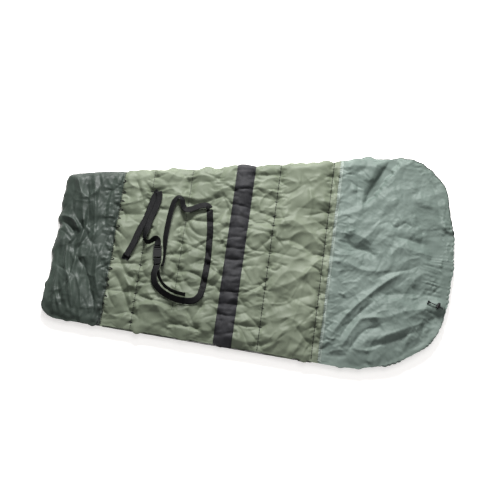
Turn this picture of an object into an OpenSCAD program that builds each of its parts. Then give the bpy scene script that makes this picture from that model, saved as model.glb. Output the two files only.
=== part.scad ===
// Quilted bivy sack lying flat and empty: foot at -X, hood at +X, zip along the near side (-Y).
// Origin under the middle of the bag, on the surface it rests on. Millimetres, +Z up.

/* [Bag outline] */
// Length from the foot end to the tip of the hood
bag_length = 1910; // [1850:10:1970]
// Width of the far half at the hood's widest place
hood_half_width = 539; // [520:1:560]
// Width of each half at the foot
foot_half_width = 363; // [345:1:380]
// Where the foot cover meets the quilted body
foot_seam_x = -665; // [-700:5:-620]
// Where the quilted body meets the hood
hood_seam_x = 374; // [350:5:400]

/* [Layers] */
// Thickness of a shell or gusset fabric layer
shell_t = 2; // [1.8:0.1:2.4]
// Thickness of the insulation under the sleeper
under_fill_t = 14; // [12:1:16]
// Thickness of the insulation over the sleeper
top_fill_t = 17; // [15:1:20]
// Thickness of the inner lining fabric
lining_t = 1.5; // [1.2:0.1:2]
// Height of the empty sleeping space
space_h = 20; // [18:1:24]

/* [Webbing] */
// Width of the strap webbing
webbing_w = 30; // [28:1:32]
// Thickness of the strap webbing
webbing_t = 1.6; // [1.4:0.1:1.8]
// Width of the band across the bag
band_w = 88; // [80:1:95]
// Middle of the band across the bag
band_x = -81; // [-90:1:-75]

/* [Buckle] */
// Width of the side-release buckle
buckle_w = 39; // [38:0.5:41]
// Thickness of the side-release buckle
buckle_t = 11; // [10:0.5:12]
// Length of the socket
socket_l = 47; // [45:1:50]

/* [Zip] */
// Height of the zip, both tapes together
zip_h = 15; // [14:0.5:16]
// Gap between the two rows of teeth
teeth_gap = 1.8; // [1.6:0.1:2]

/* [Drawcord] */
// Diameter of the hood's drawcord
cord_d = 3; // [2.8:0.1:3.2]
// Diameter of the cord lock's barrel
lock_d = 15; // [14:0.5:16]

/* [Hidden] */

olive = [0.52, 0.56, 0.46];
spruce = [0.44, 0.50, 0.46];
dark_spruce = [0.26, 0.31, 0.27];
webbing_black = [0.15, 0.15, 0.16];
lining_grey = [0.55, 0.57, 0.55];
wadding_white = [0.93, 0.93, 0.91];
plastic_black = [0.08, 0.08, 0.09];

arc_steps = 10;
big = 2400;

// Levels of the layers, from the surface the bag lies on
under_fill_z = shell_t;
under_lining_z = under_fill_z + under_fill_t;
space_z = under_lining_z + lining_t;
top_lining_z = space_z + space_h;
top_fill_z = top_lining_z + lining_t;
top_shell_z = top_fill_z + top_fill_t;
top_z = top_shell_z + shell_t;
hood_fill_t = top_fill_t - 4;
hood_shell_z = top_fill_z + hood_fill_t;
hood_top_z = hood_shell_z + shell_t;

// Seams run slightly off square, as the bag lies
seam_skew = atan(0.032);

// Corners of the outline, counterclockwise: x, y, radius
raw_corners = [[-bag_length / 2 - 2, -foot_half_width - 66, 75], [590, -hood_half_width - 8, 580],
               [912, -398, 320], [bag_length / 2 + 13, 40, 500], [893, hood_half_width - 2, 230],
               [560, hood_half_width - 14, 300], [-bag_length / 2 + 25, foot_half_width - 66, 40]];

function unit(v) = v / norm(v);
function inward(a, b) = let (u = unit(b - a)) [-u[1], u[0]];
function xy(p) = [p[0], p[1]];

// Points of one rounded corner, drawn inset from the outline
function corner_arc(a, b, c, inset) =
    let (
        n1 = inward(xy(a), xy(b)),
        n2 = inward(xy(b), xy(c)),
        centre = xy(b) + b[2] * (n1 + n2) / (1 + n1 * n2),
        start = atan2(-n1[1], -n1[0]),
        stop = atan2(-n2[1], -n2[0]),
        sweep_angle = stop < start ? stop + 360 - start : stop - start
    )
    [for (k = [0:arc_steps]) let (t = start + sweep_angle * k / arc_steps)
        centre + (b[2] - inset) * [cos(t), sin(t)]];

function rounded(corners, inset = 0) =
    let (n = len(corners))
    [for (i = [0:n - 1]) each corner_arc(corners[(i + n - 1) % n], corners[i], corners[(i + 1) % n], inset)];

// The outline is moved so that its box is centred on the origin
raw_outline = rounded(raw_corners);
raw_x = [for (p = raw_outline) p[0]];
raw_y = [for (p = raw_outline) p[1]];
shift = [(max(raw_x) + min(raw_x)) / 2, (max(raw_y) + min(raw_y)) / 2];
corners = [for (c = raw_corners) [c[0] - shift[0], c[1] - shift[1], c[2]]];

// Near edge, along which the zip runs
near_a = xy(corners[0]);
near_b = xy(corners[1]);
near_angle = atan2(near_b[1] - near_a[1], near_b[0] - near_a[0]);

// Flat layer of the bag's outline between two levels
module layer(z, t, inset = 0) {
    translate([0, 0, z]) linear_extrude(t) polygon(rounded(corners, inset));
}

// Half space on the +X side of a seam
module beyond_seam(x) {
    translate([x, 0, -10]) rotate([0, 0, -seam_skew]) translate([0, -big / 2, 0]) cube([big, big, 200]);
}

module between_seams(x1, x2) {
    intersection() {
        children();
        difference() {
            beyond_seam(x1);
            beyond_seam(x2);
        }
    }
}

// Ring of fabric around the outline's edge
module edge_wall(z, t, thick = shell_t) {
    difference() {
        layer(z, t);
        layer(z - 1, t + 2, thick);
    }
}

// Box whose long side follows the near edge: x along the edge from its foot end, y outwards
module along_near(from, to, out_from, out_to, z, h) {
    translate([near_a[0], near_a[1], z]) rotate([0, 0, near_angle])
        translate([from, -out_to, 0]) cube([to - from, out_to - out_from, h]);
}

near_start = 90;
near_stop = 1316;
zip_z = space_z + (space_h - zip_h) / 2;
zip_mid_z = zip_z + zip_h / 2;
zip_from = near_start + 210;
zip_to = near_stop - 30;

/* Body layers */
module underside_shell() {
    color(dark_spruce) layer(0, shell_t);
}

module underside_filling() {
    color(wadding_white) layer(under_fill_z, under_fill_t, 26);
}

module underside_lining() {
    color(lining_grey) layer(under_lining_z, lining_t, 2);
}

module topside_lining() {
    color(lining_grey) layer(top_lining_z, lining_t, 2);
}

module topside_filling() {
    color(wadding_white) between_seams(foot_seam_x + 4, hood_seam_x - 4) layer(top_fill_z, top_fill_t, 26);
}

module foot_filling() {
    color(wadding_white) between_seams(-big / 2, foot_seam_x - 4) layer(top_fill_z, top_fill_t, 26);
}

module hood_filling() {
    color(wadding_white) between_seams(hood_seam_x + 4, big / 2) layer(top_fill_z, hood_fill_t, 26);
}

module quilted_shell() {
    color(olive) between_seams(foot_seam_x, hood_seam_x) layer(top_shell_z, shell_t);
}

module foot_cover() {
    color(dark_spruce) between_seams(-big / 2, foot_seam_x) layer(top_shell_z, shell_t);
}

module hood_cover() {
    color(spruce) difference() {
        between_seams(hood_seam_x, big / 2) layer(hood_shell_z, shell_t);
        cord_buttonhole();
    }
}

/* Walls: the edge is cut where the zip and the hood's mouth are */
wall_z = shell_t;
wall_h = top_shell_z - wall_z;
far_wall_from = -bag_length / 2 + 90;
mouth_from = near_a[0] + near_stop;

module foot_end_wall() {
    color(dark_spruce) intersection() {
        edge_wall(wall_z, wall_h);
        union() {
            translate([-big, near_a[1] + 55, 0]) cube([big + far_wall_from, big, 100]);
            along_near(-50, near_start, -60, 20, 0, 100);
        }
    }
}

module far_side_wall() {
    color(olive) intersection() {
        edge_wall(wall_z, wall_h);
        translate([far_wall_from, 150, 0]) cube([hood_seam_x - far_wall_from, big, 100]);
    }
}

module near_wall_lower() {
    color(olive) along_near(near_start, near_stop, -shell_t, 0, wall_z, zip_z - wall_z);
}

module near_wall_upper() {
    color(olive) along_near(near_start, near_stop, -shell_t, 0, zip_z + zip_h, top_shell_z - zip_z - zip_h);
}

module hood_half(z_low, z_high) {
    intersection() {
        edge_wall(z_low, z_high - z_low, 9);
        union() {
            translate([hood_seam_x, 150, 0]) cube([big, big, 100]);
            translate([mouth_from, -big / 2, 0]) cube([big, big / 2 + 160, 100]);
        }
    }
}

module hood_rim_lower() {
    color(spruce) hood_half(space_z, space_z + 1.8);
}

module hood_rim_upper() {
    color(spruce) difference() {
        hood_half(top_fill_z, hood_shell_z);
        cord_channel();
        cord_buttonhole();
    }
}

// Channel that the drawcord runs in
channel_inset = 2.2;
channel_h = cord_d + 1.6;
cord_z = top_fill_z + hood_fill_t / 2;

module cord_channel() {
    difference() {
        layer(cord_z - channel_h / 2, channel_h, channel_inset);
        layer(cord_z - channel_h, channel_h * 2, channel_inset + channel_h);
    }
}

// Where both cords come up out of the channel
module cord_buttonhole() {
    for (x = [-14:7:14])
        translate(from_lock(x, eyelet_y - 4, cord_z - channel_h / 2)) cylinder(r = 7, h = 40, $fn = 48);
}

/* Trim on the outside */
module hood_piping() {
    color(dark_spruce) intersection() {
        edge_wall(hood_top_z, 3, 5);
        translate([480, 150, 0]) cube([big, big, 100]);
    }
}

binding_t = 1.2;

module foot_seam_binding() {
    color(dark_spruce) between_seams(foot_seam_x - 7, foot_seam_x + 7) layer(top_z, binding_t, 12);
}

module hood_seam_strip() {
    color(olive) between_seams(hood_seam_x - 16, hood_seam_x - 1) layer(top_z, binding_t, 12);
}

module cross_band() {
    color(webbing_black) between_seams(band_x - band_w / 2, band_x + band_w / 2) layer(top_z, shell_t, 1);
}

foot_loop_d = 3;

module foot_loop() {
    color(webbing_black) translate([foot_seam_x - 16, near_a[1] - 8, top_z + binding_t + foot_loop_d / 2])
        rotate_extrude($fn = 40) translate([7, 0]) circle(d = foot_loop_d, $fn = 16);
}

/* Webbing: a ribbon swept along its route. Each point is x, y, z, lean: 0 lies flat, 90 stands on edge */
function flat_dir(route, i) =
    let (
        a = route[max(i - 1, 0)],
        b = route[min(i + 1, len(route) - 1)]
    )
    unit([b[0] - a[0], b[1] - a[1]]);

function ribbon_ring(route, i, w, t) =
    let (
        p = route[i],
        d = flat_dir(route, i),
        side = [-d[1] * cos(p[3]), d[0] * cos(p[3]), sin(p[3])],
        face = [d[1] * sin(p[3]), -d[0] * sin(p[3]), cos(p[3])],
        c = [p[0], p[1], p[2]]
    )
    [c - side * w / 2 - face * t / 2, c + side * w / 2 - face * t / 2,
     c + side * w / 2 + face * t / 2, c - side * w / 2 + face * t / 2];

// Closed skin over rings of equal size
module skin(rings) {
    m = len(rings[0]);
    n = len(rings);
    points = [for (r = rings) each r];
    sides = [for (i = [0:n - 2]) for (j = [0:m - 1]) let (a = i * m + j, b = i * m + (j + 1) % m)
        each [[a, b, b + m], [a, b + m, a + m]]];
    first = [for (j = [m - 1:-1:0]) j];
    last = [for (j = [0:m - 1]) (n - 1) * m + j];
    polyhedron(points, concat([first], sides, [last]));
}

// Adds points on a smooth curve between the route's own
function smooth_at(a, b, c, d, t) =
    0.5 * (2 * b + (c - a) * t + (2 * a - 5 * b + 4 * c - d) * t * t + (3 * b - a - 3 * c + d) * t * t * t);

function smoothed(route, steps) =
    let (n = len(route))
    [for (i = [0:n - 2]) for (k = [0:steps - 1])
        smooth_at(route[max(i - 1, 0)], route[i], route[i + 1], route[min(i + 2, n - 1)], k / steps),
     route[n - 1]];

module ribbon(route, w = webbing_w, t = webbing_t) {
    fine = smoothed(route, 3);
    skin([for (i = [0:len(fine) - 1]) ribbon_ring(fine, i, w, t)]);
}

strap_z = top_z + webbing_t / 2 + 0.4;
edge_z = strap_z + webbing_w / 2;

// Loose length above the sewn strap, down to the socket's bar
upper_route = [[-222, 176, strap_z + 1, 0], [-240, 190, strap_z + 8, 30], [-275, 176, edge_z - 2, 62],
               [-313, 158, edge_z - 1.6, 66], [-342, 160, edge_z - 1, 70], [-346, 184, edge_z, 84],
               [-358, 212, edge_z + 1, 90], [-384, 208, edge_z + 1, 90], [-398, 176, edge_z, 88],
               [-407, 124, edge_z - 1, 82], [-414, 72, edge_z - 1, 80], [-417, 21, edge_z - 1, 80],
               [-415, -19, edge_z - 1, 80], [-411, -60, edge_z - 1, 82], [-410, -110, edge_z - 1, 82],
               [-416, -142, edge_z - 1, 80]];

// Loose length from the socket's bar round to the sewn strap's near end
lower_route = [[-439, -134, strap_z + 9, 0], [-447, -160, strap_z + 9, 16], [-452, -190, strap_z + 10, 34],
               [-436, -230, strap_z + 12, 52], [-398, -266, strap_z + 12, 56], [-345, -290, strap_z + 12, 52],
               [-292, -300, strap_z + 10, 40], [-248, -292, strap_z + 6, 20], [-222, -266, strap_z + 2, 6],
               [-217, -238, strap_z, 0]];

// Free end of the adjusted strap, beside the loose length
spare_route = [[-430, -168, edge_z, 86], [-424, -202, edge_z, 88], [-402, -232, edge_z, 90],
               [-366, -250, edge_z, 90], [-322, -262, edge_z, 90], [-284, -270, edge_z, 88]];

// Fixed length from the anchor patch up to the fold
left_route = [[-592, -104, strap_z, 0], [-566, -40, strap_z + 1, 0], [-545, 30, strap_z + 1, 0],
              [-522, 88, strap_z + 1, 0], [-506, 150, strap_z + 2, 0], [-492, 206, strap_z + 4, 0],
              [-486, 226, strap_z + 9, 0]];

// Returning length from the fold to the plug
tail_route = [[-480, 226, strap_z + 13, 0], [-473, 202, strap_z + 9, 0], [-484, 150, strap_z + 7, 0],
              [-500, 96, strap_z + 7, 0], [-508, 44, strap_z + 9, 12], [-510, 10, strap_z + 15, 46],
              [-505, -16, edge_z + 2, 80], [-490, -30, edge_z + 2, 86], [-474, -26, edge_z, 86]];

module strap_sewn() {
    color(webbing_black) translate([0, 0, top_z]) linear_extrude(webbing_t)
        polygon([[-232, -232], [-201, -234], [-193, -140], [-190, -60], [-193, 64], [-207, 172],
                 [-237, 170], [-224, 64], [-221, -60], [-224, -140]]);
}

module strap_upper() {
    color(webbing_black) ribbon(upper_route);
}

module strap_lower() {
    color(webbing_black) ribbon(lower_route);
}

module strap_spare() {
    color(webbing_black) ribbon(spare_route);
}

module strap_left() {
    color(webbing_black) ribbon(left_route);
}

module strap_left_tail() {
    color(webbing_black) ribbon(tail_route);
}

module strap_anchor_patch() {
    color(webbing_black) translate([-600, -122, top_z]) rotate([0, 0, 68]) translate([-6, -19, 0])
        cube([19, 38, 1.2]);
}

/* Side-release buckle: local +Y points to the plug's strap */
buckle_at = [-446, -68, top_z + 5 + buckle_t / 2];
buckle_turn = 6;
bar_r = 2.4;
wall_b = 2;
cavity_w = buckle_w - 2 * wall_b;
cavity_t = buckle_t - 2 * wall_b;
frame_l = 13;
socket_y = -42;
plug_y = 8;
prong_w = 6;
prong_l = 24;
prong_x = cavity_w / 2 - prong_w / 2 - 0.5;
fit_gap = 0.4;

module on_buckle() {
    translate(buckle_at) rotate([0, 0, buckle_turn]) children();
}

// Strap frame: two cheeks with a round bar between them
module strap_frame(y_low) {
    for (side = [-1, 1])
        translate([side * (buckle_w / 2 - 1.75) - 1.75, y_low, -buckle_t / 2 + 1]) cube([3.5, frame_l, buckle_t - 2]);
}

module strap_bar(y) {
    translate([-buckle_w / 2 + 1, y, 0]) rotate([0, 90, 0]) cylinder(r = bar_r, h = buckle_w - 2, $fn = 32);
}

module buckle_socket() {
    color(plastic_black) on_buckle() {
        difference() {
            translate([-buckle_w / 2, socket_y + frame_l - 1, -buckle_t / 2])
                cube([buckle_w, socket_l - frame_l + 1, buckle_t]);
            translate([-cavity_w / 2, socket_y + frame_l + 3, -cavity_t / 2]) cube([cavity_w, socket_l, cavity_t]);
            translate([-buckle_w, socket_y + frame_l + 7, -cavity_t / 2]) cube([2 * buckle_w, socket_l, cavity_t]);
        }
        strap_frame(socket_y);
        strap_bar(socket_y + bar_r);
    }
}

module buckle_plug() {
    color(plastic_black) on_buckle() {
        translate([-buckle_w / 2, plug_y - 2, -buckle_t / 2]) cube([buckle_w, 8, buckle_t]);
        translate([-3, plug_y - 30, -cavity_t / 2 + fit_gap]) cube([6, 30, cavity_t - 2 * fit_gap]);
        translate([0, 17, 0]) strap_frame(plug_y - 12);
        strap_bar(plug_y + 5 + frame_l - 3 - bar_r);
    }
}

// Springy arm with a finger pad; it turns at its root on the plug
module prong(side) {
    root_y = plug_y - 2 - 2.6;
    x = side * prong_x;
    h = cavity_t - 2 * fit_gap;
    translate([x, root_y, -h / 2]) cylinder(r = 2.2, h = h, $fn = 32);
    translate([x - 1.6, root_y - prong_l + 4, -h / 2]) cube([3.2, prong_l - 4, h]);
    translate([x - prong_w / 2 + side * 1.2, root_y - prong_l, -h / 2]) cube([prong_w, 11, h]);
}

module buckle_prong_left() {
    color(plastic_black) on_buckle() prong(-1);
}

module buckle_prong_right() {
    color(plastic_black) on_buckle() prong(1);
}

// Webbing stitched back on itself round a bar: a half ring and two legs
module bar_loop(bar_y, away, leg) {
    r_in = bar_r + 0.3;
    w = webbing_w - 1;
    translate([-w / 2, bar_y, 0]) rotate([0, 90, 0]) difference() {
        cylinder(r = r_in + webbing_t, h = w, $fn = 40);
        translate([0, 0, -1]) cylinder(r = r_in, h = w + 2, $fn = 40);
        translate([-20, away > 0 ? 0 : -20, -1]) cube([40, 20, w + 2]);
    }
    for (z = [r_in, -r_in - webbing_t])
        translate([-w / 2, away > 0 ? bar_y : bar_y - leg, z]) cube([w, leg, webbing_t]);
}

module socket_loop() {
    color(webbing_black) on_buckle() bar_loop(socket_y + bar_r, -1, 24);
}

module plug_loop() {
    color(webbing_black) on_buckle() bar_loop(plug_y + 5 + frame_l - 3 - bar_r, 1, 16);
}

/* Zip along the near side */
tape_t = 0.9;
teeth_h = 2.6;
teeth_out = 1.4;
row_low_z = zip_mid_z - teeth_gap / 2 - teeth_h;
row_high_z = zip_mid_z + teeth_gap / 2;

module zip_tape_lower() {
    color(plastic_black) along_near(zip_from, zip_to, -tape_t, 0, zip_z, row_low_z - zip_z);
}

module zip_tape_upper() {
    color(plastic_black) along_near(zip_from, zip_to, -tape_t, 0, row_high_z + teeth_h,
        zip_z + zip_h - row_high_z - teeth_h);
}

// Coil of the zip, one row: two thin rails that stand for its turns
module zip_row(z) {
    along_near(zip_from, zip_to, -teeth_out, 0, z, teeth_h);
}

module zip_teeth_lower() {
    color(plastic_black) zip_row(row_low_z);
}

module zip_teeth_upper() {
    color(plastic_black) zip_row(row_high_z);
}

slider_l = 13;
slider_h = 10;
plate_t = 1.2;
slider_gap = 0.35;
slider_at = zip_to - 30;

module zip_slider() {
    color(plastic_black) {
        along_near(slider_at, slider_at + slider_l, slider_gap, slider_gap + plate_t,
            zip_mid_z - slider_h / 2, slider_h);
        along_near(slider_at, slider_at + slider_l, -teeth_out - slider_gap - plate_t, -teeth_out - slider_gap,
            zip_mid_z - slider_h / 2, slider_h);
        along_near(slider_at + slider_l - 4, slider_at + slider_l, -teeth_out - slider_gap - 0.1,
            slider_gap + 0.1, zip_mid_z - 0.55, 1.1);
        // Bail that the pull hangs on
        for (z = [zip_mid_z - 4, zip_mid_z + 2.5])
            along_near(slider_at + 4, slider_at + 9, slider_gap + plate_t, slider_gap + plate_t + 3.4, z, 1.5);
        pull_axis() cylinder(r = 0.9, h = 6, center = true, $fn = 24);
    }
}

pull_out = slider_gap + plate_t + 2.2;

module pull_axis() {
    translate([near_a[0], near_a[1], zip_mid_z]) rotate([0, 0, near_angle])
        translate([slider_at + 6.5, -pull_out, 0]) children();
}

// Tab that lies back along the zip, towards the foot
module zip_pull() {
    color(plastic_black) pull_axis() {
        difference() {
            union() {
                cylinder(r = 1.9, h = 3.8, center = true, $fn = 32);
                translate([-9, -0.9, -1.9]) cube([8, 1.8, 3.8]);
            }
            cylinder(r = 0.96, h = 10, center = true, $fn = 32);
        }
        translate([-36, -0.9, -4]) cube([28, 1.8, 8]);
    }
}

module zip_top_stop() {
    color(plastic_black) along_near(zip_to + 0.5, zip_to + 4.5, -2, 0.6, zip_mid_z - 3.6, 7.2);
}

module zip_bottom_stop() {
    color(plastic_black) along_near(zip_from - 4.5, zip_from - 0.5, -2, 0.6, zip_mid_z - 3.6, 7.2);
}

module draft_tube() {
    color(lining_grey) along_near(zip_from, zip_to, -20, -5, space_z, space_h);
}

/* Hood drawcord and its lock. Local +X of the lock points to its button, local +Y into the bag */
lock_at = [890, -205, hood_top_z + lock_d / 2 + 0.4];
lock_turn = 68;
lock_l = 22;
lock_wall = 1.8;
button_travel = 4;
button_from = -4.6;
button_out = 5.5;
hole_d = cord_d * 2 + 1.2;
eyelet_y = -29;
cord_step = cord_d / 2 + 0.1;
rim_path = rounded(corners, channel_inset + channel_h / 2);
corner_n = arc_steps + 1;

// A point given in the lock's own directions
function from_lock(x, y, z) =
    [lock_at[0] + x * cos(lock_turn) - y * sin(lock_turn), lock_at[1] + x * sin(lock_turn) + y * cos(lock_turn), z];

// The free part of one cord: up through the eyelet, through the lock and on to its end
function cord_tail(side, lift) = [
    from_lock(side * 14, eyelet_y - 7.5 + side * 3, cord_z), from_lock(side * 8, eyelet_y - 3 + side, cord_z + 1.5),
    from_lock(side * 5, eyelet_y - 1, cord_z + 6), from_lock(side * 3.5, eyelet_y + 0.5, cord_z + 11),
    from_lock(side * 2, eyelet_y + 9, lock_at[2] + lift), from_lock(0, eyelet_y + 15, lock_at[2] + lift),
    from_lock(0, 0, lock_at[2] + lift), from_lock(0, 30, lock_at[2] + lift), from_lock(0, 44, lock_at[2] + lift)];

function in_rim(indices) = [for (i = indices) [rim_path[i][0], rim_path[i][1], cord_z]];

// Straight run of the rim between the tip's two corners; the far cord leaves it near its end
rim_leave = 0.86 * rim_path[2 * corner_n + arc_steps] + 0.14 * rim_path[3 * corner_n];

function tube_ring(route, i, r, ref) =
    let (
        d = unit(route[min(i + 1, len(route) - 1)] - route[max(i - 1, 0)]),
        side = unit(cross(d, ref)),
        up = cross(side, d)
    )
    [for (k = [0:7]) route[i] + r * (side * cos(45 * k) + up * sin(45 * k))];

module tube(route, r, ref = [0.3, 0.2, 1]) {
    skin([for (i = [0:len(route) - 1]) tube_ring(route, i, r, ref)]);
}

module drawcord_far() {
    color(plastic_black)
        tube(concat(in_rim([6 * corner_n - 1:-1:3 * corner_n]), [[rim_leave[0], rim_leave[1], cord_z]],
            cord_tail(1, cord_step)), cord_d / 2);
}

module drawcord_near() {
    color(plastic_black)
        tube(concat(in_rim([corner_n + 3:2 * corner_n + arc_steps - 1]), cord_tail(-1, -cord_step)), cord_d / 2);
}

module on_lock() {
    translate(lock_at) rotate([0, 0, lock_turn]) children();
}

module lock_hole(x) {
    translate([x, 0, 0]) rotate([90, 0, 0]) cylinder(d = hole_d, h = 2 * lock_d, center = true, $fn = 32);
}

module cord_lock_body() {
    color(plastic_black) on_lock() difference() {
        rotate([0, 90, 0]) translate([0, 0, -lock_l / 2]) cylinder(d = lock_d, h = lock_l, $fn = 48);
        rotate([0, 90, 0]) translate([0, 0, -lock_l / 2 + lock_wall])
            cylinder(d = lock_d - 2 * lock_wall, h = lock_l, $fn = 48);
        lock_hole(0);
    }
}

module cord_lock_button() {
    color(plastic_black) on_lock() difference() {
        rotate([0, 90, 0]) translate([0, 0, button_from])
            cylinder(d = lock_d - 2 * lock_wall - 0.6, h = lock_l / 2 - button_from + button_out, $fn = 48);
        lock_hole(0);
        lock_hole(button_travel);
        translate([0, -lock_d, -hole_d / 2]) cube([button_travel, 2 * lock_d, hole_d]);
    }
}

spring_turns = 3;
spring_r = 4;
spring_wire_r = 0.4;
spring_from = -lock_l / 2 + lock_wall + spring_wire_r + 0.1;
spring_to = button_from - spring_wire_r - 0.1;
spring_route = [for (k = [0:16 * spring_turns]) let (a = k * 22.5)
    [spring_from + (spring_to - spring_from) * k / (16 * spring_turns), spring_r * cos(a), spring_r * sin(a)]];

module cord_lock_spring() {
    color("silver") on_lock() tube(spring_route, spring_wire_r, [1, 0, 0]);
}

underside_shell();
underside_filling();
underside_lining();
topside_lining();
topside_filling();
foot_filling();
hood_filling();
quilted_shell();
foot_cover();
hood_cover();
foot_end_wall();
far_side_wall();
near_wall_lower();
near_wall_upper();
hood_rim_lower();
hood_rim_upper();
hood_piping();
foot_seam_binding();
hood_seam_strip();
cross_band();
strap_sewn();
strap_upper();
strap_lower();
strap_spare();
strap_left();
strap_left_tail();
strap_anchor_patch();
socket_loop();
plug_loop();
buckle_socket();
buckle_plug();
buckle_prong_left();
buckle_prong_right();
zip_tape_lower();
zip_tape_upper();
zip_teeth_lower();
zip_teeth_upper();
zip_slider();
zip_pull();
zip_top_stop();
zip_bottom_stop();
draft_tube();
drawcord_far();
drawcord_near();
cord_lock_body();
cord_lock_button();
cord_lock_spring();
foot_loop();
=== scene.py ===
"""Looks of the quilted bivy sack: draped shells, webbing, zip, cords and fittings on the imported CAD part."""
import math

import bpy
import numpy as np
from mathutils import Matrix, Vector
from mathutils.bvhtree import BVHTree
from mathutils.geometry import delaunay_2d_cdt


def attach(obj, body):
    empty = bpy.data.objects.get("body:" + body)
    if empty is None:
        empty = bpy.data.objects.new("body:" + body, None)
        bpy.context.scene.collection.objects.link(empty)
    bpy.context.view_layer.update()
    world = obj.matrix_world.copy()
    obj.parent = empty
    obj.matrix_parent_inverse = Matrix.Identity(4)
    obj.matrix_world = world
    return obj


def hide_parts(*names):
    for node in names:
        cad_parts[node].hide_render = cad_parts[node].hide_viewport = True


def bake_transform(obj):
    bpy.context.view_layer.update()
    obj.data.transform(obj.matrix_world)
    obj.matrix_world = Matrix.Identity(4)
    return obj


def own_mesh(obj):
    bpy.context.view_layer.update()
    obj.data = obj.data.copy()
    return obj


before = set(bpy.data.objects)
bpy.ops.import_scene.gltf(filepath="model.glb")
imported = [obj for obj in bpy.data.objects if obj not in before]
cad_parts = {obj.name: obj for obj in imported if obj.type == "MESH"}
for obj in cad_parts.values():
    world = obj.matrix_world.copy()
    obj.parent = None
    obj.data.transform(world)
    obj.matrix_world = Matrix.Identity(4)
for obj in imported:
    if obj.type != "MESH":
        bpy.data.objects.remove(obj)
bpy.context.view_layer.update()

# ---------------------------------------------------------------- sizes, metres
STEP = 0.0050   # spacing of the shells' vertices
EDGE_W = 0.055                           # how far in the shell keeps rising from the edge
EDGE_ARC = 0.064                         # fabric used by that rise
TOP_Z = 0.057                            # level of the shell over the filling
SKEW = 0.032                             # slope of the seams across the bag
CREASE_DEPTH = 0.023                     # the quilting's creases go no deeper
FOOT_SEAM = -0.665
HOOD_SEAM = 0.374
BAND = (-0.125, -0.037)                  # edges of the cross band
QUILT_LINES = [-0.517, -0.336, 0.083, 0.337]
STRAP_LINE = -0.205                      # the sewn strap also holds the quilting down
WEBBING_W = 0.030
WEBBING_T = 0.0016
LOCK_AT = (0.890, -0.205, 0.0543)        # where the cord lock rests on the hood
LOCK_TURN = math.radians(68)
CORD_D = 0.003
CORD_EXIT = 0.026                        # from the lock's middle to the eyelet
CORD_END = 0.049                         # from the lock's middle to the knots
HEM_Z = 0.0240                           # height of the drawcord in the hem
LOCK_MIDDLE = 0.0620                     # height of the lock's axis
SPRING = (-0.0087, -0.0052)              # ends of the lock's spring, along the lock
ZIP_FROM, ZIP_TO = 0.300, 1.286          # along the near edge, from the foot's corner
ZIP_Z = 0.0275                           # height of the zip's middle
ZIP_LINE = ((-0.9614, -0.4253), math.radians(-4.36188))   # the foot's near corner and the near edge's way
COIL_PITCH = 0.0022
LINING_FLOOR = 0.0290                    # the shell never sinks below this, where the linings lie
STRAP_CEILING = 0.0575                   # the straps keep the shell below this
FOOT_LOOP_D = 0.0034
FLOOR = 40.0                             # half the width of the pale floor


# ---------------------------------------------------------------- small maths
def smooth(t):
    t = np.clip(t, 0, 1)
    return t * t * (3 - 2 * t)


def noise(x, y, seed):
    """Smooth noise from about -1 to 1 over a plane, with features about one unit across."""
    table = np.random.RandomState(seed).uniform(0, 2 * math.pi, (64, 64))
    xi, yi = np.floor(x).astype(int), np.floor(y).astype(int)
    fx, fy = x - xi, y - yi
    total = np.zeros_like(fx)
    for dx in (0, 1):
        for dy in (0, 1):
            angle = table[(xi + dx) % 64, (yi + dy) % 64]
            dot = (fx - dx) * np.cos(angle) + (fy - dy) * np.sin(angle)
            wx = smooth(fx) if dx else 1 - smooth(fx)
            wy = smooth(fy) if dy else 1 - smooth(fy)
            total += wx * wy * dot
    return total * 1.5


def ridged(x, y, seed):
    """Noise with sharp crests, from 0 to 1."""
    return (1 - np.clip(np.abs(noise(x, y, seed)) * 1.6, 0, 1)) ** 2


def turned(x, y, degrees):
    c, s = math.cos(math.radians(degrees)), math.sin(math.radians(degrees))
    return x * c + y * s, -x * s + y * c


def catmull(points, steps):
    """Points on a smooth curve through the given ones."""
    p = np.array(points, float)
    out = []
    for i in range(len(p) - 1):
        a, b, c, d = (p[min(max(j, 0), len(p) - 1)] for j in (i - 1, i, i + 1, i + 2))
        for k in range(steps):
            t = k / steps
            out.append(0.5 * (2 * b + (c - a) * t + (2 * a - 5 * b + 4 * c - d) * t * t
                              + (3 * b - a - 3 * c + d) * t ** 3))
    out.append(p[-1])
    return np.array(out)


def spaced(points, step):
    """The same line with evenly spaced points."""
    p = np.array(points, float)
    along = np.concatenate([[0], np.cumsum(np.linalg.norm(np.diff(p[:, :3], axis=0), axis=1))])
    n = max(2, int(round(along[-1] / step)) + 1)
    at = np.linspace(0, along[-1], n)
    return np.stack([np.interp(at, along, p[:, k]) for k in range(p.shape[1])], 1)


def round_trip(outline, step):
    """Evenly spaced points round a closed outline."""
    return spaced(np.vstack([outline, outline[:1]]), step)[:-1]


def unit(rows):
    """Each row at length 1."""
    return rows / np.maximum(np.linalg.norm(rows, axis=1), 1e-12)[:, None]


def length_of(points):
    return float(np.linalg.norm(np.diff(np.array(points, float), axis=0), axis=1).sum())


# ---------------------------------------------------------------- the outline, from the CAD underside
def read_outline():
    co = np.array([v.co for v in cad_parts["underside_shell"].data.vertices])
    low = np.unique(np.round(co[co[:, 2] < 1e-4][:, :2], 6), axis=0)
    low = low[np.argsort(np.arctan2(low[:, 1], low[:, 0]))]
    keep = np.linalg.norm(low - np.roll(low, 1, 0), axis=1) > 1e-4
    return low[keep]


def grown(poly, amount):
    """The outline moved outwards."""
    tangent = np.roll(poly, -1, 0) - np.roll(poly, 1, 0)
    normal = np.stack([tangent[:, 1], -tangent[:, 0]], 1)
    return poly + unit(normal) * amount


OUTLINE = round_trip(read_outline(), 0.02)
RIM = grown(OUTLINE, EDGE_ARC - EDGE_W)


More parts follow.
